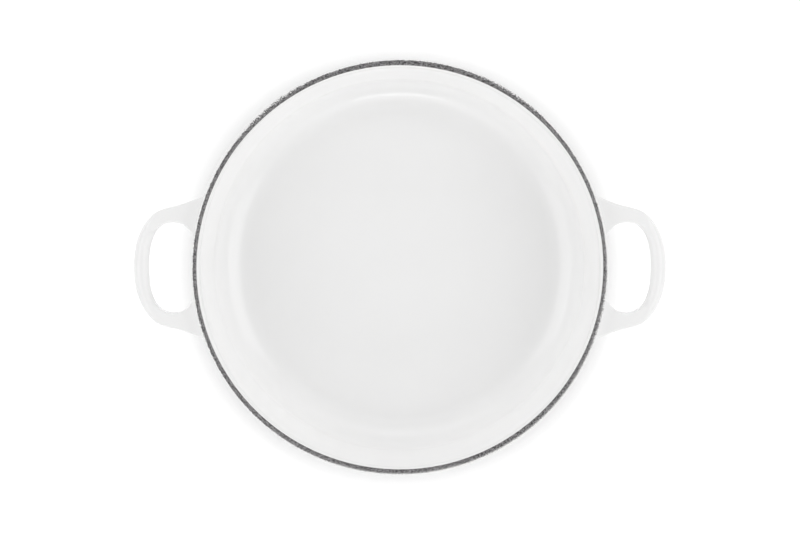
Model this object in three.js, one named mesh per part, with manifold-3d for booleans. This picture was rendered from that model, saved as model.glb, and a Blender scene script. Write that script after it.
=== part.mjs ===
// Round, low, two-handled casserole: one iron casting with fired enamel coats.
// Millimetres, +Z up, handles along X, origin on the ground under the middle of the bowl.
import * as THREE from 'three';
import { mergeVertices } from 'three/addons/utils/BufferGeometryUtils.js';
import Module from 'manifold-3d';

const wasm = await Module();
wasm.setup();

// Bowl, measured on the finished surface
const rimRadius = 130; // widest outer radius, just under the rim
const bowlHeight = 70; // ground to the top of the rim
const wallThickness = 5.5; // iron and both coats together
const floorRadius = 97; // flat part of the floor
const coveRadius = 22; // inside, between floor and wall
const shoulderRadius = 2; // rounding of both edges of the rim

// Coats
const enamelThickness = 0.5;
const coatClearance = 0.2; // between a coat and what it lies on or meets
const bandOuterAngle = THREE.MathUtils.degToRad(72); // dark rim band, on the outer shoulder
const bandInnerAngle = THREE.MathUtils.degToRad(104); // and on the inner shoulder

// Foot ring
const footOuterRadius = 94;
const footWidth = 10;
const footHeight = 1.5; // ground to the recess under the base

// Handles, measured on the finished surface
const handleDrop = 6; // top of the rim to the top of the handle
const handleThickness = 10;
const handleProjection = 36.4; // outside of the grip beyond the rim
const gripWidth = 9.4; // grip bar, seen from above
const eyeWidth = 56.3; // hand hole, across
const eyeSink = 2.5; // how far the hand hole's oval runs into the wall
const eyeFullness = 2.4; // 2 is an ellipse, more is fuller at the corners
const barWidth = 9.2; // bar at the sides of the hand hole
const gripFullness = 2.15; // of the handle's outside
const handleEdgeRadius = 3; // rounding of all the handle's long edges
const flareStart = THREE.MathUtils.degToRad(80); // where the side leaves the oval, from the grip's middle
const flareEnd = THREE.MathUtils.degToRad(22.8); // where it lands on the wall, seen from the middle of the bowl
const flareBow = 14; // how far the flare follows the oval's side
const landingBow = 5.5; // and the wall where it lands

// Fineness of the faceted surface
const turnSteps = 56;
const coveSteps = 5;
const shoulderSteps = 2;
const ovalSteps = 14; // on half an oval
const edgeSteps = 2;

// The wall leans out from the cove: its outer face is a line that touches the outer cove and passes the rim
const outerCove = coveRadius + wallThickness;
const coveCentre = new THREE.Vector2(floorRadius, footHeight + outerCove);
const shoulderHeight = bowlHeight - shoulderRadius;
const rimFromCove = new THREE.Vector2(rimRadius, shoulderHeight).sub(coveCentre);
const wallAngle = rimFromCove.angle() + Math.asin(outerCove / rimFromCove.length());
const draft = Math.PI / 2 - wallAngle;
const layer = enamelThickness + coatClearance;

const arcPoints = (centre, radius, from, to, steps) =>
  new THREE.EllipseCurve(centre.x, centre.y, radius, radius, from, to, from > to).getPoints(steps);

// Radius of the finished wall at a height, and of a surface that lies a depth inside it
const wallRadius = (height, depth = 0) =>
  rimRadius - (shoulderHeight - height) * Math.tan(draft) - depth / Math.cos(draft);

const outerShoulder = new THREE.Vector2(wallRadius(shoulderHeight, shoulderRadius), shoulderHeight);
const innerShoulder = new THREE.Vector2(
  wallRadius(shoulderHeight, wallThickness - shoulderRadius),
  shoulderHeight,
);

const coveArc = (depth) => arcPoints(coveCentre, outerCove - depth, -Math.PI / 2, -draft, coveSteps);
const outerArc = (depth, from, to) =>
  arcPoints(outerShoulder, shoulderRadius - depth, from, to, shoulderSteps);
const innerArc = (depth, from, to) =>
  arcPoints(innerShoulder, shoulderRadius - depth, from, to, shoulderSteps);
const onAxis = (depth) => new THREE.Vector2(0, footHeight + depth);

// Turns a closed profile of (radius, height) points about Z
function turned(profile) {
  const geometry = new THREE.LatheGeometry(profile, turnSteps);
  return geometry.rotateX(Math.PI / 2);
}

function solid(geometry) {
  const bare = geometry.clone();
  bare.deleteAttribute('normal');
  bare.deleteAttribute('uv');
  const merged = mergeVertices(bare);
  const vertProperties = new Float32Array(merged.attributes.position.array);
  const triVerts = new Uint32Array(merged.index.array);
  return new wasm.Manifold(new wasm.Mesh({ numProp: 3, vertProperties, triVerts }));
}

function geometryOf(body) {
  const { vertProperties, triVerts } = body.getMesh();
  const geometry = new THREE.BufferGeometry();
  geometry.setAttribute('position', new THREE.BufferAttribute(vertProperties, 3));
  geometry.setIndex(new THREE.BufferAttribute(triVerts, 1));
  geometry.computeVertexNormals();
  return geometry;
}

// The bowl filled up level, with its outer face a depth inside the finished one
function filledBowl(depth) {
  const lid = bowlHeight + handleThickness;
  return turned([
    onAxis(depth),
    ...coveArc(depth),
    new THREE.Vector2(wallRadius(lid, depth), lid),
    new THREE.Vector2(0, lid),
  ]);
}

// The right handle's place: its hand hole is an oval between the wall and the grip
const handleTop = bowlHeight - handleDrop;
const handleBottom = handleTop - handleThickness;
const handleReach = rimRadius + handleProjection;
const eyeOuterEnd = handleReach - gripWidth;
const eyeInnerEnd = wallRadius(handleTop - handleThickness / 2) - eyeSink;
const eyeCentre = (eyeOuterEnd + eyeInnerEnd) / 2;

// Points along an oval about the hand hole's middle
function ovalPoints(length, width, fullness, from, to, steps) {
  const full = (value) => Math.sign(value) * Math.abs(value) ** (2 / fullness);
  const turns = Array.from({ length: steps + 1 }, (_, k) => from + ((to - from) * k) / steps);
  return turns.map(
    (turn) => new THREE.Vector2(eyeCentre + length * full(Math.cos(turn)), width * full(Math.sin(turn))),
  );
}

// Its outline from above, with its root reaching into the bowl
function handleOutline() {
  const rootReach = floorRadius;
  const ovalLength = handleReach - eyeCentre;
  const ovalWidth = eyeWidth / 2 + barWidth;
  const grip = ovalPoints(ovalLength, ovalWidth, gripFullness, -flareStart, flareStart, ovalSteps);
  const leave = grip.at(-1);
  const bend = 2 / gripFullness - 1;
  const along = new THREE.Vector2(
    -ovalLength * Math.cos(flareStart) ** bend * Math.sin(flareStart),
    ovalWidth * Math.sin(flareStart) ** bend * Math.cos(flareStart),
  ).setLength(flareBow);
  const landing = wallRadius(handleBottom);
  const land = new THREE.Vector2(landing * Math.cos(flareEnd), landing * Math.sin(flareEnd));
  const wallward = new THREE.Vector2(Math.sin(flareEnd), -Math.cos(flareEnd)).setLength(landingBow);

  const outline = new THREE.Shape();
  outline.moveTo(rootReach, -land.y);
  outline.lineTo(land.x, -land.y);
  outline.bezierCurveTo(
    land.x + wallward.x, -land.y - wallward.y,
    leave.x + along.x, -leave.y - along.y,
    leave.x, -leave.y,
  );
  grip.slice(1).forEach((point) => outline.lineTo(point.x, point.y));
  outline.bezierCurveTo(
    leave.x + along.x, leave.y + along.y,
    land.x + wallward.x, land.y + wallward.y,
    land.x, land.y,
  );
  outline.lineTo(rootReach, land.y);
  outline.closePath();
  const eyeLength = eyeOuterEnd - eyeCentre;
  const eye = ovalPoints(eyeLength, eyeWidth / 2, eyeFullness, 0, 2 * Math.PI, 2 * ovalSteps);
  outline.holes.push(new THREE.Path(eye.slice(1)));
  return outline;
}

// The right handle's whole body, with every face a depth inside the finished one
function handleBody(depth) {
  const edge = handleEdgeRadius - depth;
  const geometry = new THREE.ExtrudeGeometry(handleOutline(), {
    depth: handleThickness - 2 * handleEdgeRadius,
    curveSegments: ovalSteps / 2,
    bevelThickness: edge,
    bevelSize: edge,
    bevelOffset: -handleEdgeRadius,
    bevelSegments: edgeSteps,
  });
  return geometry.translate(0, 0, handleBottom + handleEdgeRadius);
}

const sides = { right: 0, left: Math.PI };

function ironCasting() {
  const iron = wallThickness - layer;
  const underside = footHeight + layer;
  const footInnerRadius = footOuterRadius - footWidth;
  const bowl = turned([
    onAxis(layer),
    new THREE.Vector2(footInnerRadius, underside),
    new THREE.Vector2(footInnerRadius, layer),
    new THREE.Vector2(footOuterRadius, layer),
    new THREE.Vector2(footOuterRadius, underside),
    ...coveArc(layer),
    ...outerArc(layer, -draft, Math.PI / 2),
    ...innerArc(layer, Math.PI / 2, Math.PI - draft),
    ...coveArc(iron).reverse(),
    onAxis(iron),
  ]);
  const midWall = solid(filledBowl(wallThickness / 2));
  let casting = solid(bowl);
  for (const turn of Object.values(sides)) {
    const core = solid(handleBody(layer).rotateZ(turn));
    casting = casting.add(core.subtract(midWall));
  }
  return geometryOf(casting);
}

function interiorEnamel() {
  const face = wallThickness;
  const back = wallThickness - enamelThickness;
  return turned([
    onAxis(back),
    ...coveArc(back),
    ...innerArc(enamelThickness, Math.PI - draft, bandInnerAngle),
    ...innerArc(0, bandInnerAngle, Math.PI - draft),
    ...coveArc(face).reverse(),
    onAxis(face),
  ]);
}

function wallEnamel() {
  const meetsFoot = footOuterRadius + coatClearance;
  const start = new THREE.Vector2(meetsFoot, footHeight);
  const coat = turned([
    start,
    ...coveArc(0),
    ...outerArc(0, -draft, bandOuterAngle),
    ...outerArc(enamelThickness, bandOuterAngle, -draft),
    ...coveArc(enamelThickness).reverse(),
    new THREE.Vector2(meetsFoot, footHeight + enamelThickness),
    start,
  ]);
  let pierced = solid(coat);
  for (const turn of Object.values(sides)) {
    pierced = pierced.subtract(solid(handleBody(enamelThickness).rotateZ(turn)));
  }
  return geometryOf(pierced);
}

function baseEnamel() {
  const meetsFoot = footOuterRadius - footWidth - coatClearance;
  return turned([
    onAxis(0),
    new THREE.Vector2(meetsFoot, footHeight),
    new THREE.Vector2(meetsFoot, footHeight + enamelThickness),
    onAxis(enamelThickness),
  ]);
}

function rimCoat() {
  const seam = coatClearance / shoulderRadius;
  const outerEnd = bandOuterAngle + seam;
  const innerEnd = bandInnerAngle - seam;
  const top = [...outerArc(0, outerEnd, Math.PI / 2), ...innerArc(0, Math.PI / 2, innerEnd)];
  const bottom = [
    ...innerArc(enamelThickness, innerEnd, Math.PI / 2),
    ...outerArc(enamelThickness, Math.PI / 2, outerEnd),
  ];
  return turned([...top, ...bottom, top[0]]);
}

function footCoat() {
  const footInnerRadius = footOuterRadius - footWidth;
  const corner = new THREE.Vector2(footInnerRadius, 0);
  return turned([
    corner,
    new THREE.Vector2(footOuterRadius, 0),
    new THREE.Vector2(footOuterRadius, enamelThickness),
    new THREE.Vector2(footInnerRadius, enamelThickness),
    corner,
  ]);
}

function handleEnamel(turn) {
  const sleeve = solid(handleBody(0)).subtract(solid(handleBody(enamelThickness)));
  const outsideWall = sleeve.subtract(solid(filledBowl(-coatClearance)));
  return geometryOf(outsideWall).rotateZ(turn);
}

const castIron = new THREE.MeshStandardMaterial({ color: 0x3a3a3b, roughness: 0.75, metalness: 0.6 });
const whiteEnamel = new THREE.MeshStandardMaterial({ color: 0xf1f1f0, roughness: 0.12, metalness: 0 });
const groundCoat = new THREE.MeshStandardMaterial({ color: 0x5c5c5c, roughness: 0.8, metalness: 0 });

const casserole = new THREE.Group();
function addPiece(name, geometry, material) {
  const piece = new THREE.Mesh(geometry, material.clone());
  piece.name = name;
  casserole.add(piece);
}

addPiece('iron_casting', ironCasting(), castIron);
addPiece('interior_enamel', interiorEnamel(), whiteEnamel);
addPiece('wall_enamel', wallEnamel(), whiteEnamel);
addPiece('base_enamel', baseEnamel(), whiteEnamel);
addPiece('rim_coat', rimCoat(), groundCoat);
addPiece('foot_coat', footCoat(), groundCoat);
for (const [side, turn] of Object.entries(sides)) {
  addPiece(`${side}_handle_enamel`, handleEnamel(turn), whiteEnamel);
}

export default casserole;
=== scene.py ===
import bpy
import bmesh
import math
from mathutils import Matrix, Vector


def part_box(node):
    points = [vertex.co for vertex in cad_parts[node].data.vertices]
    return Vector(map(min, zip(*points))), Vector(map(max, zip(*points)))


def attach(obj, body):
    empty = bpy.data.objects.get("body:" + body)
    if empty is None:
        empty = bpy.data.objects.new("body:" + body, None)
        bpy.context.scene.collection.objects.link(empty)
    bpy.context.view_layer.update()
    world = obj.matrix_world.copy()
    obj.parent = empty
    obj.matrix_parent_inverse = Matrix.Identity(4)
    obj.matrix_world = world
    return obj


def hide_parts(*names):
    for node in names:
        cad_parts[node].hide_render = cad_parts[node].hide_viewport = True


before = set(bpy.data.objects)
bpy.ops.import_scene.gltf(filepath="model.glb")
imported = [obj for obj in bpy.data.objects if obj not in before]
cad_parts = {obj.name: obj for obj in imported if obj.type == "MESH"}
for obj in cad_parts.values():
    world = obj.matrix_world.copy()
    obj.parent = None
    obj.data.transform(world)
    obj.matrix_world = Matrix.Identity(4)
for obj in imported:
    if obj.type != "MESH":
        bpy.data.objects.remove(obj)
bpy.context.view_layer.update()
scene = bpy.context.scene
mm = 0.001

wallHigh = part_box("wall_enamel")[1]
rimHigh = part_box("rim_coat")[1]
baseLow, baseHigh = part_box("base_enamel")
footLow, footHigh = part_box("foot_coat")
gripLow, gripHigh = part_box("right_handle_enamel")

bowl = {
    "rimRadius": wallHigh.x,
    "rimTop": rimHigh.z,
    "footHeight": baseLow.z,  # ground to the recess under the base
    "wall": 5.5 * mm,  # iron and both coats
    "floorRadius": 97 * mm,
    "cove": 22 * mm,  # inside, between floor and wall
    "shoulder": 2 * mm,  # rounding of the rim
    "coat": 0.5 * mm,
    "turn": 256,  # steps of a fine full turn
}

outerCove = bowl["cove"] + bowl["wall"]
coveCentre = Vector((bowl["floorRadius"], bowl["footHeight"] + outerCove))
shoulderZ = bowl["rimTop"] - bowl["shoulder"]
toRim = Vector((bowl["rimRadius"], shoulderZ)) - coveCentre
draft = math.pi / 2 - math.atan2(toRim.y, toRim.x) - math.asin(outerCove / toRim.length)


def wallRadius(z, depth=0.0):
    return bowl["rimRadius"] - (shoulderZ - z) * math.tan(draft) - depth / math.cos(draft)


def smoothStep(start, end, value):
    part = min(max((value - start) / (end - start), 0.0), 1.0)
    return part * part * (3 - 2 * part)


def arc(centre, radius, start, end, steps):
    turns = [start + (end - start) * k / steps for k in range(steps + 1)]
    return [centre + Vector((math.cos(a), math.sin(a))) * radius for a in turns]


def coveArc(depth, steps, lift=1.0):
    return arc(coveCentre, (outerCove - depth) * lift, -math.pi / 2, -draft, steps)


def outerShoulder(depth, start, end, steps):
    centre = Vector((wallRadius(shoulderZ, bowl["shoulder"]), shoulderZ))
    return arc(centre, bowl["shoulder"] - depth, start, end, steps)


def innerShoulder(depth, start, end, steps):
    centre = Vector((wallRadius(shoulderZ, bowl["wall"] - bowl["shoulder"]), shoulderZ))
    return arc(centre, bowl["shoulder"] - depth, start, end, steps)


def lathe(bm, profile, steps, closed=False):
    verts = [bm.verts.new((r, 0, z)) for r, z in profile]
    edges = [bm.edges.new(pair) for pair in zip(verts, verts[1:])]
    if closed:
        edges.append(bm.edges.new((verts[-1], verts[0])))
    bmesh.ops.spin(bm, geom=verts + edges, cent=(0, 0, 0), axis=(0, 0, 1), dvec=(0, 0, 0),
                   angle=math.tau, steps=steps, use_merge=True, use_duplicate=False)
    bmesh.ops.remove_doubles(bm, verts=bm.verts, dist=0.001 * mm)  # closes the poles
    bmesh.ops.recalc_face_normals(bm, faces=bm.faces)


def addPiece(bm, name, material, slot, *nodes, sharpAngle=40):
    mesh = bpy.data.meshes.new(name)
    bm.to_mesh(mesh)
    bm.free()
    mesh.materials.append(material)
    mesh.shade_smooth()
    if sharpAngle:
        mesh.set_sharp_from_angle(angle=math.radians(sharpAngle))
    piece = bpy.data.objects.new(name, mesh)
    scene.collection.objects.link(piece)
    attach(piece, "root")
    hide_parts(*nodes)
    print(name, len(mesh.polygons), "faces")
    return piece


# Materials

def addNode(tree, kind, inputs=None, **settings):
    made = tree.nodes.new(kind)
    for key, value in settings.items():
        setattr(made, key, value)
    for key, value in (inputs or {}).items():
        if isinstance(value, bpy.types.NodeSocket):
            tree.links.new(value, made.inputs[key])
        else:
            made.inputs[key].default_value = value
    return made


def calc(tree, operation, first, second=0.0, third=0.0, clamp=False):
    values = {0: first, 1: second, 2: third}
    return addNode(tree, "ShaderNodeMath", values, operation=operation, use_clamp=clamp).outputs[0]


def noise(tree, vector, scale, detail=2.0, roughness=0.5):
    values = {"Vector": vector, "Scale": scale, "Detail": detail, "Roughness": roughness}
    return addNode(tree, "ShaderNodeTexNoise", values).outputs["Fac"]


def ramp(tree, value, fromMin, fromMax, toMin, toMax, kind="SMOOTHSTEP"):
    values = {"Value": value, "From Min": fromMin, "From Max": fromMax, "To Min": toMin, "To Max": toMax}
    return addNode(tree, "ShaderNodeMapRange", values, interpolation_type=kind).outputs["Result"]


def mixColor(tree, factor, first, second):
    made = addNode(tree, "ShaderNodeMix", {"Factor": factor}, data_type="RGBA")
    for socket, value in ((made.inputs[6], first), (made.inputs[7], second)):
        if isinstance(value, bpy.types.NodeSocket):
            tree.links.new(value, socket)
        else:
            socket.default_value = (*value, 1)
    return made.outputs[2]


def newGroup(name, inputs, outputs):
    group = bpy.data.node_groups.new(name, "ShaderNodeTree")
    for label, kind in inputs:
        group.interface.new_socket(label, in_out="INPUT", socket_type=kind)
    for label, kind in outputs:
        group.interface.new_socket(label, in_out="OUTPUT", socket_type=kind)
    return group, group.nodes.new("NodeGroupInput").outputs, group.nodes.new("NodeGroupOutput").inputs


def newMaterial(name):
    material = bpy.data.materials.new(name)
    material.use_nodes = True
    tree = material.node_tree
    place = addNode(tree, "ShaderNodeTexCoord").outputs["Object"]
    inMm = addNode(tree, "ShaderNodeVectorMath", {0: place, "Scale": 1 / mm}, operation="SCALE").outputs[0]
    return material, tree, tree.nodes["Principled BSDF"], inMm


def measure(tree, operation, first, second=(0, 0, 0)):
    values = {0: first, 1: second}
    return addNode(tree, "ShaderNodeVectorMath", values, operation=operation).outputs["Value"]


def flatten(tree, place):
    return addNode(tree, "ShaderNodeVectorMath", {0: place, 1: (1, 1, 0)}, operation="MULTIPLY").outputs[0]


def link(tree, *pairs):
    for source, target in pairs:
        tree.links.new(source, target)


enamel = {
    # one white enamel: painted lighter inside and darker outside, standing in for how each is lit
    "inside": (0.958, 0.957, 0.955),
    "outside": (0.907, 0.906, 0.904),
    "lip": (0.890, 0.889, 0.885),  # painted shade: darker on the two shoulders of the rim, toning down their lit edge
    "lipShadeRise": (65.0, 69.0),  # heights and distances in the finishes are in millimetres
    "floorShade": (0.968, 1.0),  # painted shade: darker on the floor than in the cove
    "floorRise": (7.2, 9.6),
    "wallShade": (1.0, 0.982),  # painted shade: darker again towards the rim
    "wallRise": (28.0, 66.0),
    "rootLight": (0.065, -0.018),  # painted light: whiter on the handles beside the wall, where the wall shades them, then a little darker further out
    "rootStart": (129.7, 130.5),  # from the middle of the bowl: where the handle leaves the wall
    "rootLightFade": (130.5, 137.0),
    "cloud": (0.022, 3.0),  # scale and detail of the slow changes in the fired colour
    "ripple": (0.09, 1.0),  # of the flow of the glaze
    "peel": (0.55, 2.0),  # and of the orange peel
    "swing": (0.3, 0.7),  # the part of a noise's range that is used
    "cloudTone": (0.992, 1.0),
    "gloss": (0.07, 0.10),
    "peelShare": 0.12,
    "bump": 0.12,
    "bumpDepth": 0.05 * mm,
    "ior": 1.52,
}


def enamelGroup():
    group, given, made = newGroup("enamelSkin",
                                  [("Place", "NodeSocketVector"), ("Tint", "NodeSocketColor")],
                                  [("Color", "NodeSocketColor"), ("Roughness", "NodeSocketFloat"),
                                   ("Height", "NodeSocketFloat")])
    place = given["Place"]
    cloud = noise(group, place, *enamel["cloud"])
    ripple = noise(group, place, *enamel["ripple"])
    peel = noise(group, place, *enamel["peel"])
    height = addNode(group, "ShaderNodeSeparateXYZ", {0: place}).outputs["Z"]
    radius = measure(group, "LENGTH", flatten(group, place))
    # painted shade on the rim's shoulders
    lipShade = ramp(group, height, *enamel["lipShadeRise"], 0.0, 1.0)
    # painted shade: darker on the floor and towards the rim
    shadeOnFloor = ramp(group, height, *enamel["floorRise"], *enamel["floorShade"])
    shadeUpWall = ramp(group, height, *enamel["wallRise"], *enamel["wallShade"])
    paintedShade = calc(group, "MULTIPLY", shadeOnFloor, shadeUpWall)
    onHandle = ramp(group, radius, *enamel["rootStart"], 0.0, 1.0)
    # painted light on the handles beside the wall, where the wall shades them
    root = calc(group, "MULTIPLY", onHandle, ramp(group, radius, *enamel["rootLightFade"], *enamel["rootLight"]))
    cloudAndShade = calc(group, "MULTIPLY", ramp(group, cloud, *enamel["swing"], *enamel["cloudTone"]), paintedShade)
    tone = calc(group, "MULTIPLY_ADD", cloudAndShade, root, cloudAndShade)
    shadedTint = mixColor(group, lipShade, given["Tint"], enamel["lip"])
    color = addNode(group, "ShaderNodeVectorMath", {0: shadedTint, "Scale": tone}, operation="SCALE").outputs[0]
    link(group, (color, made["Color"]),
         (ramp(group, ripple, *enamel["swing"], *enamel["gloss"]), made["Roughness"]),
         (calc(group, "MULTIPLY_ADD", peel, enamel["peelShare"], ripple), made["Height"]))
    return group


speckle = {
    "coarse": (3.0, 0.7),  # detail and roughness of the two grains
    "fine": (2.0, 0.6),
    "fineRatio": 3.1,  # how many times finer the fine grain is
    "shares": (0.6, 0.4),
    "swing": (0.43, 0.57),
    "bumpDepth": 0.15 * mm,
}


def grainGroup():
    group, given, made = newGroup("coatGrain",
                                  [("Place", "NodeSocketVector"), ("Size", "NodeSocketFloat")],
                                  [("Grain", "NodeSocketFloat"), ("Height", "NodeSocketFloat")])
    scale = calc(group, "DIVIDE", 1.0, given["Size"])
    fineScale = calc(group, "MULTIPLY", scale, speckle["fineRatio"])
    coarse = noise(group, given["Place"], scale, *speckle["coarse"])
    fine = noise(group, given["Place"], fineScale, *speckle["fine"])
    parts = zip((coarse, fine), speckle["shares"])
    both = calc(group, "ADD", *(calc(group, "MULTIPLY", grain, share) for grain, share in parts))
    link(group, (ramp(group, both, *speckle["swing"], 0.0, 1.0), made["Grain"]), (both, made["Height"]))
    return group


enamelSkin = enamelGroup()
coatGrain = grainGroup()


def enamelMaterial(name, tint):
    material, tree, shader, place = newMaterial(name)
    skin = addNode(tree, "ShaderNodeGroup", node_tree=enamelSkin)
    skin.inputs["Tint"].default_value = (*tint, 1)
    link(tree, (place, skin.inputs["Place"]))
    bump = addNode(tree, "ShaderNodeBump", {"Height": skin.outputs["Height"], "Strength": enamel["bump"],
                                            "Distance": enamel["bumpDepth"]})
    link(tree, (skin.outputs["Color"], shader.inputs["Base Color"]),
         (skin.outputs["Roughness"], shader.inputs["Roughness"]),
         (bump.outputs["Normal"], shader.inputs["Normal"]))
    shader.inputs["IOR"].default_value = enamel["ior"]
    return material


rimBand = {
    "inside": 125.92,  # mean limits of the dark coat, from the middle of the bowl
    "outside": 128.65,
    "oval": (0.47, 15),  # painted highlight: the inside limit lies furthest out near the handles, where light catches the inner shoulder, at this turn in degrees
    "insideSoft": 0.12,
    "sway": (0.18, 36),  # the outside limit's two slow changes round the rim
    "wander": (0.15, 203),
    "tooth": 0.55,  # raggedness of the outside limit
    "toothNoise": (1.0, 3.0, 0.65),
    "toothSwing": (0.25, 0.75),
    "outsideEnd": 129.3,  # the furthest that a tooth reaches
    "bite": 1.8,  # more raggedness along a few stretches
    "biteTurn": 57,  # where one of these lies, in degrees
    "biteWidth": (0.3, 1.0),
    "biteFade": (-110, 60),  # most at the back, none at the front
    "across": (-0.6, 0.8, 0),  # from the front right to the back left
    "soft": (0.12, 0.75),  # fading of the outside limit, at the sharpest and the softest place: a real soft edge, widened at the front right into a painted highlight
    "softFrom": (30.0, -120.0),  # where these lie along the direction across
    "dark": (0.014, 0.0134, 0.0137),
    "pale": (0.290, 0.283, 0.287),
    "grain": 1.15,
    "speckle": 0.95,
    "sheen": 0.20,  # painted highlight: a pale line along the band
    "sheenWidth": (0.2, 0.9),
    "sheenDrift": (0.75, -0.75),  # near the inside at the back left and the outside at the front right
    "sheenFrom": (-127.0, 127.0),
    "sheenFade": (70, 115),  # it fades out between these distances towards the back
    "roughness": 0.62,
    "bump": 0.6,
    "outerEnd": math.radians(44),  # the coat's ends on the two shoulders
    "innerEnd": math.radians(115),
    "proud": 0.06 * mm,
    "steps": 8,
}


def rimMaterial():
    material, tree, shader, place = newMaterial("rim_coat")
    skin = addNode(tree, "ShaderNodeGroup", node_tree=enamelSkin)
    grain = addNode(tree, "ShaderNodeGroup", {"Size": rimBand["grain"]}, node_tree=coatGrain)
    # the white beside the dark coat takes the lip tint, painted shade on the shoulders
    skin.inputs["Tint"].default_value = (*enamel["lip"], 1)
    link(tree, (place, skin.inputs["Place"]), (place, grain.inputs["Place"]))
    flat = flatten(tree, place)
    radius = measure(tree, "LENGTH", flat)
    lean = measure(tree, "DOT_PRODUCT", flat, rimBand["across"])
    split = addNode(tree, "ShaderNodeSeparateXYZ", {0: place}).outputs
    azimuth = calc(tree, "ARCTAN2", split["Y"], split["X"])

    def wave(waves, size, peak):
        phase = calc(tree, "MULTIPLY_ADD", azimuth, waves, -waves * math.radians(peak))
        return calc(tree, "MULTIPLY", calc(tree, "COSINE", phase), size)

    def within(past, soft):  # 1 before a limit and 0 past it
        return ramp(tree, past, -soft, soft, 1.0, 0.0)

    uneven = noise(tree, flat, *rimBand["toothNoise"])
    tooth = ramp(tree, uneven, *rimBand["toothSwing"], -1.0, 1.0, "LINEAR")
    stretch = ramp(tree, wave(5, 1.0, rimBand["biteTurn"]), *rimBand["biteWidth"], 0.0, rimBand["bite"])
    bitten = calc(tree, "MULTIPLY", stretch, ramp(tree, split["Y"], *rimBand["biteFade"], 0.0, 1.0))
    ragged = calc(tree, "MULTIPLY", tooth, calc(tree, "ADD", bitten, rimBand["tooth"]))
    slow = calc(tree, "ADD", wave(2, *rimBand["sway"]), wave(3, *rimBand["wander"]))
    outside = calc(tree, "ADD", calc(tree, "ADD", ragged, slow), rimBand["outside"])
    outside = calc(tree, "MINIMUM", outside, rimBand["outsideEnd"])
    # painted highlight: the white runs further into the dark coat near the handles
    inside = calc(tree, "ADD", wave(2, *rimBand["oval"]), rimBand["inside"])
    # softest at the front right, where the grey fade paints a highlight
    soft = ramp(tree, lean, *rimBand["softFrom"], *rimBand["soft"])
    pastOutside = calc(tree, "DIVIDE", calc(tree, "SUBTRACT", radius, outside), soft)
    pastInside = calc(tree, "SUBTRACT", inside, radius)
    coated = calc(tree, "MULTIPLY", within(pastOutside, 1.0), within(pastInside, rimBand["insideSoft"]))

    # painted highlight: a pale line along the band that moves across it with direction
    sheenOffset = ramp(tree, lean, *rimBand["sheenFrom"], *rimBand["sheenDrift"], "LINEAR")
    sheenLine = calc(tree, "ADD", sheenOffset, (rimBand["inside"] + rimBand["outside"]) / 2)
    fromSheenLine = calc(tree, "ABSOLUTE", calc(tree, "SUBTRACT", radius, sheenLine))
    sheenStrength = ramp(tree, split["Y"], *rimBand["sheenFade"], rimBand["sheen"], 0.0)
    paintedSheen = calc(tree, "MULTIPLY", ramp(tree, fromSheenLine, *rimBand["sheenWidth"], 1.0, 0.0), sheenStrength)
    # speckle grain plus the painted highlight line
    speckleAndSheen = calc(tree, "MULTIPLY_ADD", grain.outputs["Grain"], rimBand["speckle"], paintedSheen, clamp=True)
    coat = mixColor(tree, speckleAndSheen, rimBand["dark"], rimBand["pale"])
    color = mixColor(tree, coated, skin.outputs["Color"], coat)
    rough = addNode(tree, "ShaderNodeMix", {"Factor": coated, 2: skin.outputs["Roughness"],
                                            3: rimBand["roughness"]}).outputs[0]
    height = calc(tree, "MULTIPLY", grain.outputs["Height"], coated)
    bump = addNode(tree, "ShaderNodeBump", {"Height": height, "Strength": rimBand["bump"],
                                            "Distance": speckle["bumpDepth"]})
    link(tree, (color, shader.inputs["Base Color"]), (rough, shader.inputs["Roughness"]),
         (bump.outputs["Normal"], shader.inputs["Normal"]))
    shader.inputs["IOR"].default_value = enamel["ior"]
    return material


footBand = {
    "dark": (0.095, 0.092, 0.094),
    "pale": (0.235, 0.230, 0.233),
    "grain": 1.3,
    "roughness": (0.7, 0.55),
    "metallic": 0.0,
    "bump": 0.7,
    "width": 10 * mm,
    "rounding": 0.4 * mm,
}
iron = {
    "dark": (0.055, 0.053, 0.052),
    "pale": (0.16, 0.155, 0.15),
    "grain": 1.8,
    "roughness": (0.75, 0.6),
    "metallic": 1.0,
    "bump": 0.7,
    "depth": 0.8 * mm,  # under the finished surface
    "footGap": 0.1 * mm,  # above the foot's coat
    "levels": 1,
}


def grainMaterial(name, look):
    material, tree, shader, place = newMaterial(name)
    grain = addNode(tree, "ShaderNodeGroup", {"Size": look["grain"]}, node_tree=coatGrain)
    link(tree, (place, grain.inputs["Place"]))
    color = mixColor(tree, grain.outputs["Grain"], look["dark"], look["pale"])
    rough = ramp(tree, grain.outputs["Grain"], 0.0, 1.0, *look["roughness"], "LINEAR")
    bump = addNode(tree, "ShaderNodeBump", {"Height": grain.outputs["Height"], "Strength": look["bump"],
                                            "Distance": speckle["bumpDepth"]})
    link(tree, (color, shader.inputs["Base Color"]), (rough, shader.inputs["Roughness"]),
         (bump.outputs["Normal"], shader.inputs["Normal"]))
    shader.inputs["Metallic"].default_value = look["metallic"]
    return material


# one white enamel in two tints, painted lighter inside and darker outside
outerEnamel = enamelMaterial("outer_enamel", enamel["outside"])
innerEnamel = enamelMaterial("inner_enamel", enamel["inside"])
rimCoat = rimMaterial()
footCoat = grainMaterial("foot_coat", footBand)
castIron = grainMaterial("cast_iron", iron)
print("materials made")


# Outside of the pot: one skin over the wall and both handles

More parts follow.
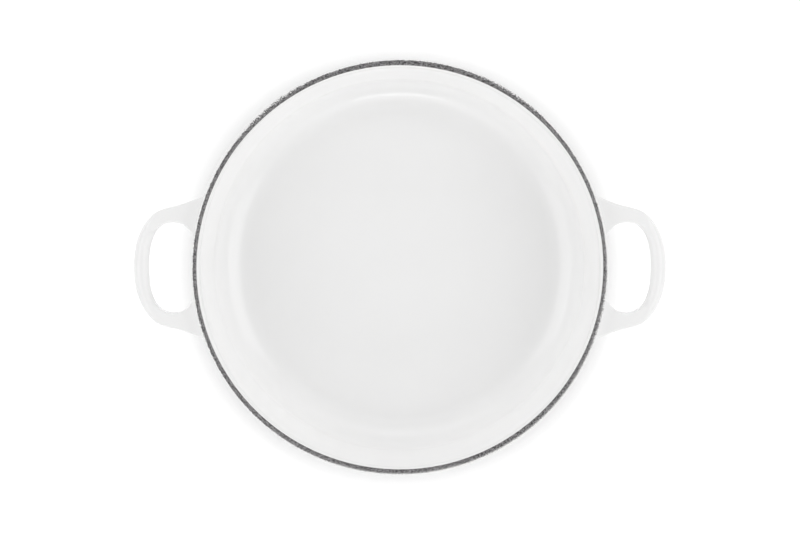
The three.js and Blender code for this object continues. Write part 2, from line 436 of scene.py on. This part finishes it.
handle = {
    "top": gripHigh.z,
    "bottom": gripLow.z,
    "reach": gripHigh.x,
    "grip": 9.4 * mm,  # bar along the outside, seen from above
    "gripFullness": 2.15,  # 2 is an ellipse, more is fuller at the corners
    "eyeWidth": 56.3 * mm,
    "eyeSink": 2.5 * mm,  # how far the hand hole's oval runs into the wall
    "eyeFullness": 2.4,
    "bar": 9.2 * mm,  # bar at the sides of the hand hole
    "flareStart": math.radians(80),  # where the side leaves the oval
    "flareEnd": math.radians(22.8),  # where it lands on the wall
    "flareBow": 14 * mm,
    "landingBow": 5.5 * mm,
    "landing": math.radians(165),  # the oval angle that belongs to the landing
    "rootStart": math.radians(7.5),  # the arm's root on the wall
    "rootEnd": math.radians(22.5),
    "stations": (138, 126, 112, 96, 80, 64, 48, 32, 16, 0),  # oval angles of the arm's rings, in degrees
    "collar": 0.4,  # share of the way from the wall to the first station
    "lip": 2.2 * mm,  # from an edge to the line that holds it firm
    "fillet": 3.2 * mm,  # below the handle
    "upperFillet": 1.6 * mm,  # above it, close under the rim
    "ridged": (math.radians(68), math.radians(38)),  # from a flat bar to a ridged one
    "ridgeShift": -0.03,  # the ridge lies a little towards the hand hole
    "ridgeFullness": 1.75,
}
handleMiddle = (handle["top"] + handle["bottom"]) / 2
handleRows = (handle["bottom"], handle["bottom"] + handle["lip"], handleMiddle,
              handle["top"] - handle["lip"], handle["top"])

eyeOuter = handle["reach"] - handle["grip"]
eyeInner = wallRadius(handleMiddle) - handle["eyeSink"]
eyeCentre = Vector(((eyeOuter + eyeInner) / 2, 0))
eyeSize = Vector(((eyeOuter - eyeInner) / 2, handle["eyeWidth"] / 2))
gripSize = Vector((handle["reach"] - eyeCentre.x, handle["eyeWidth"] / 2 + handle["bar"]))


def onOval(size, fullness, turn):
    across = [math.copysign(abs(part) ** (2 / fullness), part) for part in (math.cos(turn), math.sin(turn))]
    return Vector((size.x * across[0], size.y * across[1]))


def flarePoint(share):
    start = handle["flareStart"]
    end = handle["flareEnd"]
    leave = onOval(gripSize, handle["gripFullness"], start)
    along = onOval(gripSize, handle["gripFullness"], start + 0.01) - leave
    land = Vector((math.cos(end), math.sin(end))) * wallRadius(handle["bottom"]) - eyeCentre
    back = Vector((math.sin(end), -math.cos(end))) * handle["landingBow"]
    points = (leave, leave + along.normalized() * handle["flareBow"], land + back, land)
    weights = ((1 - share) ** 3, 3 * share * (1 - share) ** 2, 3 * share ** 2 * (1 - share), share ** 3)
    return sum((p * w for p, w in zip(points, weights)), Vector((0, 0)))


def planEdges(turn):
    past = (turn - handle["flareStart"]) / (handle["landing"] - handle["flareStart"])
    outer = flarePoint(past) if past > 0 else onOval(gripSize, handle["gripFullness"], turn)
    return eyeCentre + onOval(eyeSize, handle["eyeFullness"], turn), eyeCentre + outer


def sign(value):
    return (value > 0) - (value < 0)


def ringPoint(label, turn, depth):
    side, level = label
    inner, outer = planEdges(turn)
    across = (outer - inner) / 2
    halfWidth = across.length - depth
    halfHeight = (handle["top"] - handle["bottom"]) / 2 - depth
    flat = Vector((sign(side) * (halfWidth - (abs(side) == 1) * handle["lip"]),
                   sign(level) * (halfHeight - (abs(level) == 1) * handle["lip"])))
    step = math.pi / 8
    if abs(level) == 2:
        angle = sign(level) * (math.pi / 2 - side * step)
    else:
        angle = level * step if side > 0 else math.pi - level * step
    lift = 1 / (1 - (1 - math.cos(step)) / 3)
    ridged = onOval(Vector((halfWidth, halfHeight)) * lift, handle["ridgeFullness"], angle)
    ridged.x += handle["ridgeShift"] * halfWidth * max(math.sin(angle), 0)
    section = flat.lerp(ridged, smoothStep(*handle["ridged"], turn))
    spot = (inner + outer) / 2 + across.normalized() * section.x
    return Vector((spot.x, spot.y, handleMiddle + section.y))


def throughTargets(root, targets):
    controls = [t.copy() for t in targets]
    for _ in range(8):  # moves the cage out until the smooth surface runs through the targets
        chain = [root.lerp(controls[0], handle["collar"])] + controls
        chain.append(controls[-2] * Vector((1, -1, 1)))
        limits = [(chain[k] + chain[k + 1] * 4 + chain[k + 2]) / 6 for k in range(len(targets))]
        controls = [c + t - now for c, t, now in zip(controls, targets, limits)]
    return [root.lerp(controls[0], handle["collar"])] + controls


def growArm(bm, labels, flip, depth, lastRing):
    turns = [math.radians(t) for t in handle["stations"]]
    paths = {}
    for vert, label in labels.items():
        targets = [ringPoint(label, t, depth) for t in turns]
        paths[label] = throughTargets(vert.co * flip, targets)
    loop = [e for e in bm.edges if e.is_boundary and all(v in labels for v in e.verts)]
    for ring in range(len(turns) + 1 if lastRing else len(turns)):
        made = bmesh.ops.extrude_edge_only(bm, edges=loop)["geom"]
        fresh = {v for v in made if isinstance(v, bmesh.types.BMVert)}
        loop = [e for e in made if isinstance(e, bmesh.types.BMEdge) and all(v in fresh for v in e.verts)]
        grown = {}
        for vert in fresh:
            behind = next(e.other_vert(vert) for e in vert.link_edges if e.other_vert(vert) in labels)
            grown[vert] = labels[behind]
            vert.co = paths[labels[behind]][ring] * flip
        labels = grown
    return loop


def rootLabels(bm, flip):
    step = (handle["rootEnd"] - handle["rootStart"]) / 4
    labels = {}
    for vert in bm.verts:
        spot = vert.co * flip
        side = (math.atan2(spot.y, spot.x) - handle["rootStart"]) / step - 2
        row = [k for k, z in enumerate(handleRows) if abs(z - spot.z) < 0.01 * mm]
        if row and abs(side) < 2.1 and max(abs(round(side)), abs(row[0] - 2)) == 2:
            labels[vert] = (round(side), row[0] - 2)
    return labels


def inRoot(face):
    centre = face.calc_center_median()
    azimuth = math.atan2(abs(centre.y), abs(centre.x))
    inHeight = handle["bottom"] < centre.z < handle["top"]
    inTurn = handle["rootStart"] < azimuth < handle["rootEnd"]
    return inHeight and inTurn and centre.xy.length > bowl["floorRadius"]


def growHandles(bm, depth):
    roots = [f for f in bm.faces if inRoot(f) and f.normal.dot(f.calc_center_median()) > 0]
    bmesh.ops.delete(bm, geom=roots, context="FACES")
    for x in (1, -1):
        loops = []
        for y in (1, -1):
            flip = Vector((x, y, 1))
            loops += growArm(bm, rootLabels(bm, flip), flip, depth, y > 0)
        bmesh.ops.bridge_loops(bm, edges=loops)
    bmesh.ops.recalc_face_normals(bm, faces=bm.faces)


shell = {
    "columns": 96,
    "coveRows": 9,
    "coveLift": 1.003,  # makes up for what the cove loses when it is smoothed
    "belowHandle": (1, 2, 4.5),  # rows of the wall, in fillets under the handle
    "whiteEnd": math.radians(64),  # on the rim's outer shoulder, under the dark coat
    "footGap": 0.2 * mm,
    "levels": 2,
}
cageLift = 1 / (1 - (1 - math.cos(math.tau / shell["columns"])) / 3)  # a smoothed ring shrinks by this much


def outerWall(depth):
    fillet, above = handle["fillet"], handle["upperFillet"]
    heights = [handle["top"] + 2 * above, handle["top"] + above, *reversed(handleRows),
               *(handle["bottom"] - k * fillet for k in shell["belowHandle"])]
    wall = [Vector((wallRadius(z, depth), z)) for z in heights]
    return wall + list(reversed(coveArc(depth, shell["coveRows"], shell["coveLift"])))


def cage(profile):
    return [(r * cageLift, z) for r, z in profile]


def outerGlaze():
    bm = bmesh.new()
    foot = Vector((footHigh.x + shell["footGap"], bowl["footHeight"]))
    profile = outerShoulder(0, shell["whiteEnd"], -draft, 4) + outerWall(0)[:-1] + [foot]
    lathe(bm, cage(profile), shell["columns"])
    growHandles(bm, 0.0)
    piece = addPiece(bm, "outer_glaze", outerEnamel, "white_enamel",
                     "wall_enamel", "left_handle_enamel", "right_handle_enamel", sharpAngle=None)
    smooth = piece.modifiers.new("smooth", "SUBSURF")
    smooth.levels = smooth.render_levels = shell["levels"]
    coat = piece.modifiers.new("coat", "SOLIDIFY")
    coat.thickness = bowl["coat"]
    coat.offset = -1
    return piece


lining = {
    "end": math.radians(104),  # on the rim's inner shoulder, under the dark coat
    "floorRings": (0, 0.25, 0.5, 0.75),  # shares of the floor's radius
    "coveSteps": 40,
    "wallRows": (40 * mm, 54 * mm),
}


def innerGlaze():
    bm = bmesh.new()
    face = bowl["wall"]
    back = bowl["wall"] - bowl["coat"]
    floorZ = bowl["footHeight"] + bowl["wall"]
    end = lining["end"]
    front = [Vector((r * bowl["floorRadius"], floorZ)) for r in lining["floorRings"]]
    front += coveArc(face, lining["coveSteps"])
    front += [Vector((wallRadius(z, face), z)) for z in lining["wallRows"]]
    front += reversed(innerShoulder(0, end, math.pi - draft, 10))
    rear = innerShoulder(bowl["coat"], end, math.pi - draft, 6)
    rear += reversed(coveArc(back, lining["coveSteps"] // 2))
    rear += [Vector((0, floorZ - bowl["coat"]))]
    lathe(bm, front + rear, bowl["turn"])
    return addPiece(bm, "inner_glaze", innerEnamel, "white_enamel", "interior_enamel")


def rimPiece():
    bm = bmesh.new()
    outerEnd, crown, innerEnd = rimBand["outerEnd"], math.pi / 2, rimBand["innerEnd"]
    top = []
    for shoulder, start, end in ((outerShoulder, outerEnd, crown), (innerShoulder, crown, innerEnd)):
        for k in range(rimBand["steps"] + 1):
            angle = start + (end - start) * k / rimBand["steps"]
            top += shoulder(-rimBand["proud"] * math.cos(angle) ** 2, angle, angle, 1)[:1]
    under = innerShoulder(bowl["coat"], innerEnd, crown, 4)
    under += outerShoulder(bowl["coat"], crown, outerEnd, 4)
    lathe(bm, top + under, 2 * bowl["turn"], closed=True)
    return addPiece(bm, "rim_band", rimCoat, "ground_coat", "rim_coat")


def basePiece():
    bm = bmesh.new()
    low, high = bowl["footHeight"], bowl["footHeight"] + bowl["coat"]
    radius = baseHigh.x
    profile = [(0, low), (radius * 0.5, low), (radius, low), (radius, high), (0, high)]
    lathe(bm, profile, bowl["turn"] // 2)
    return addPiece(bm, "base_glaze", outerEnamel, "white_enamel", "base_enamel")


def footPiece():
    bm = bmesh.new()
    inner, outer = footHigh.x - footBand["width"], footHigh.x
    low, high = footLow.z, footHigh.z
    bevel = footBand["rounding"]
    profile = [(inner, high), (inner, low + bevel), (inner + bevel, low),
               (outer - bevel, low), (outer, low + bevel), (outer, high)]
    lathe(bm, profile, bowl["turn"], closed=True)
    return addPiece(bm, "foot_band", footCoat, "ground_coat", "foot_coat")


def ironBody():
    bm = bmesh.new()
    depth = iron["depth"]
    face = bowl["wall"] - depth
    inner, outer = footHigh.x - footBand["width"], footHigh.x
    foot = footHigh.z + iron["footGap"]
    recess = bowl["footHeight"] + depth
    profile = outerShoulder(depth, math.pi / 2, -draft, 3) + outerWall(depth)[:-1]
    profile += [Vector(spot) for spot in ((outer, recess), (outer, foot), (inner, foot), (inner, recess),
                                          (0, recess), (0, bowl["footHeight"] + face))]
    profile += coveArc(face, 8) + innerShoulder(depth, math.pi - draft, math.pi / 2, 3)
    lathe(bm, cage(profile + profile[:1]), shell["columns"])
    growHandles(bm, depth)
    piece = addPiece(bm, "iron_body", castIron, "cast_iron", "iron_casting", sharpAngle=None)
    smooth = piece.modifiers.new("smooth", "SUBSURF")
    smooth.levels = smooth.render_levels = iron["levels"]
    return piece


outerGlaze()
innerGlaze()
rimPiece()
basePiece()
footPiece()
ironBody()
print("pieces made")


# Floor, lights and camera

studio = {
    "world": 0.505,
    "floorColor": (0.85, 0.85, 0.85),
    "floorSize": 4,
    "floorGlowAndShadow": (0.085, 0.27),  # close to the pot and away from it: seen by the camera, lights nothing; the lower glow close to the pot is a painted shadow
    "paintedShadowFade": (135.5, 146.5),  # in millimetres from its centre
    "paintedShadowCentre": (0.0, -4.0, 0.0),
    "lamps": {  # turn, rise and spread in degrees
        "left box": {"turn": 180, "rise": 38, "size": (1.5, 1.3), "spread": 110, "power": 2.72},
        "right box": {"turn": 0, "rise": 38, "size": (1.5, 1.3), "spread": 110, "power": 3.1},
        "left strip": {"turn": 180, "rise": 17, "size": (2.2, 0.55), "spread": 180, "power": 1.83},
        "right strip": {"turn": 0, "rise": 17, "size": (2.2, 0.55), "spread": 180, "power": 1.5},
        "front": {"turn": 270, "rise": 24, "size": (2.6, 0.9), "spread": 110, "power": 2.98},
        "front strip": {"turn": 270, "rise": 18, "size": (0.8, 0.4), "spread": 180, "power": 1.68},
        "back": {"turn": 90, "rise": 24, "size": (2.6, 0.9), "spread": 110, "power": 3.0},
        "front top": {"turn": 270, "rise": 70, "size": (1.2, 0.6), "spread": 180, "power": 0.47},
        "back top": {"turn": 90, "rise": 70, "size": (1.2, 0.6), "spread": 180, "power": 0.99},
    },
    "lampDistance": 1.6,
    "aim": (0, 0, 0.035),
    "tilt": math.radians(2.2),  # the camera stands a little towards the top of the picture
    "distance": 1.38,  # to the middle of the rim
    "aside": (0.09 * mm, 0.62 * mm),  # and this far to the right and to the top
    "lens": 100,
}


def floorMaterial():
    material, tree, shader, place = newMaterial("floor")
    tree.nodes.remove(shader)
    path = addNode(tree, "ShaderNodeLightPath")
    mirrored = calc(tree, "MAXIMUM", path.outputs["Is Glossy Ray"], path.outputs["Is Transmission Ray"])
    seen = calc(tree, "MAXIMUM", path.outputs["Is Camera Ray"], mirrored)
    # painted shadow: the glow drops close to the pot
    apart = measure(tree, "DISTANCE", place, studio["paintedShadowCentre"])
    shadowedGlow = ramp(tree, apart, *studio["paintedShadowFade"], *studio["floorGlowAndShadow"], "LINEAR")
    cloth = addNode(tree, "ShaderNodeBsdfDiffuse", {"Color": (*studio["floorColor"], 1)})
    glow = addNode(tree, "ShaderNodeEmission", {"Strength": calc(tree, "MULTIPLY", seen, shadowedGlow)})
    both = addNode(tree, "ShaderNodeAddShader", {0: cloth.outputs[0], 1: glow.outputs[0]})
    link(tree, (both.outputs[0], tree.nodes["Material Output"].inputs["Surface"]))
    return material


def addFloor():
    bm = bmesh.new()
    bmesh.ops.create_grid(bm, x_segments=1, y_segments=1, size=studio["floorSize"])
    bmesh.ops.translate(bm, verts=bm.verts, vec=(0, 0, footLow.z))
    mesh = bpy.data.meshes.new("floor")
    bm.to_mesh(mesh)
    bm.free()
    mesh.materials.append(floorMaterial())
    floor = bpy.data.objects.new("floor", mesh)
    scene.collection.objects.link(floor)


def addLamp(name, turn, rise, size, spread, power):
    turn, rise = math.radians(turn), math.radians(rise)
    away = Vector((math.cos(rise) * math.cos(turn), math.cos(rise) * math.sin(turn), math.sin(rise)))
    data = bpy.data.lights.new(name, "AREA")
    data.shape = "RECTANGLE"
    data.size, data.size_y = size
    data.spread = math.radians(spread)
    data.energy = power
    lamp = bpy.data.objects.new(name, data)
    lamp.location = Vector(studio["aim"]) + away * studio["lampDistance"]
    lamp.rotation_euler = (-away).to_track_quat("-Z", "Y").to_euler()
    scene.collection.objects.link(lamp)


def addCamera():
    data = bpy.data.cameras.new("camera")
    data.lens = studio["lens"]
    camera = bpy.data.objects.new("camera", data)
    tilt = studio["tilt"]
    back = Vector((0, math.sin(tilt), math.cos(tilt))) * studio["distance"]
    camera.location = Vector((*studio["aside"], bowl["rimTop"])) + back
    camera.rotation_euler = (-tilt, 0, 0)  # nearly straight down, handles left and right
    scene.collection.objects.link(camera)
    scene.camera = camera


addFloor()
for name, lamp in studio["lamps"].items():
    addLamp(name, **lamp)
world = bpy.data.worlds.new("studio")
world.use_nodes = True
world.node_tree.nodes["Background"].inputs["Color"].default_value = (1, 1, 1, 1)
world.node_tree.nodes["Background"].inputs["Strength"].default_value = studio["world"]
scene.world = world
addCamera()
scene.view_settings.view_transform = "Standard"
print("studio made")
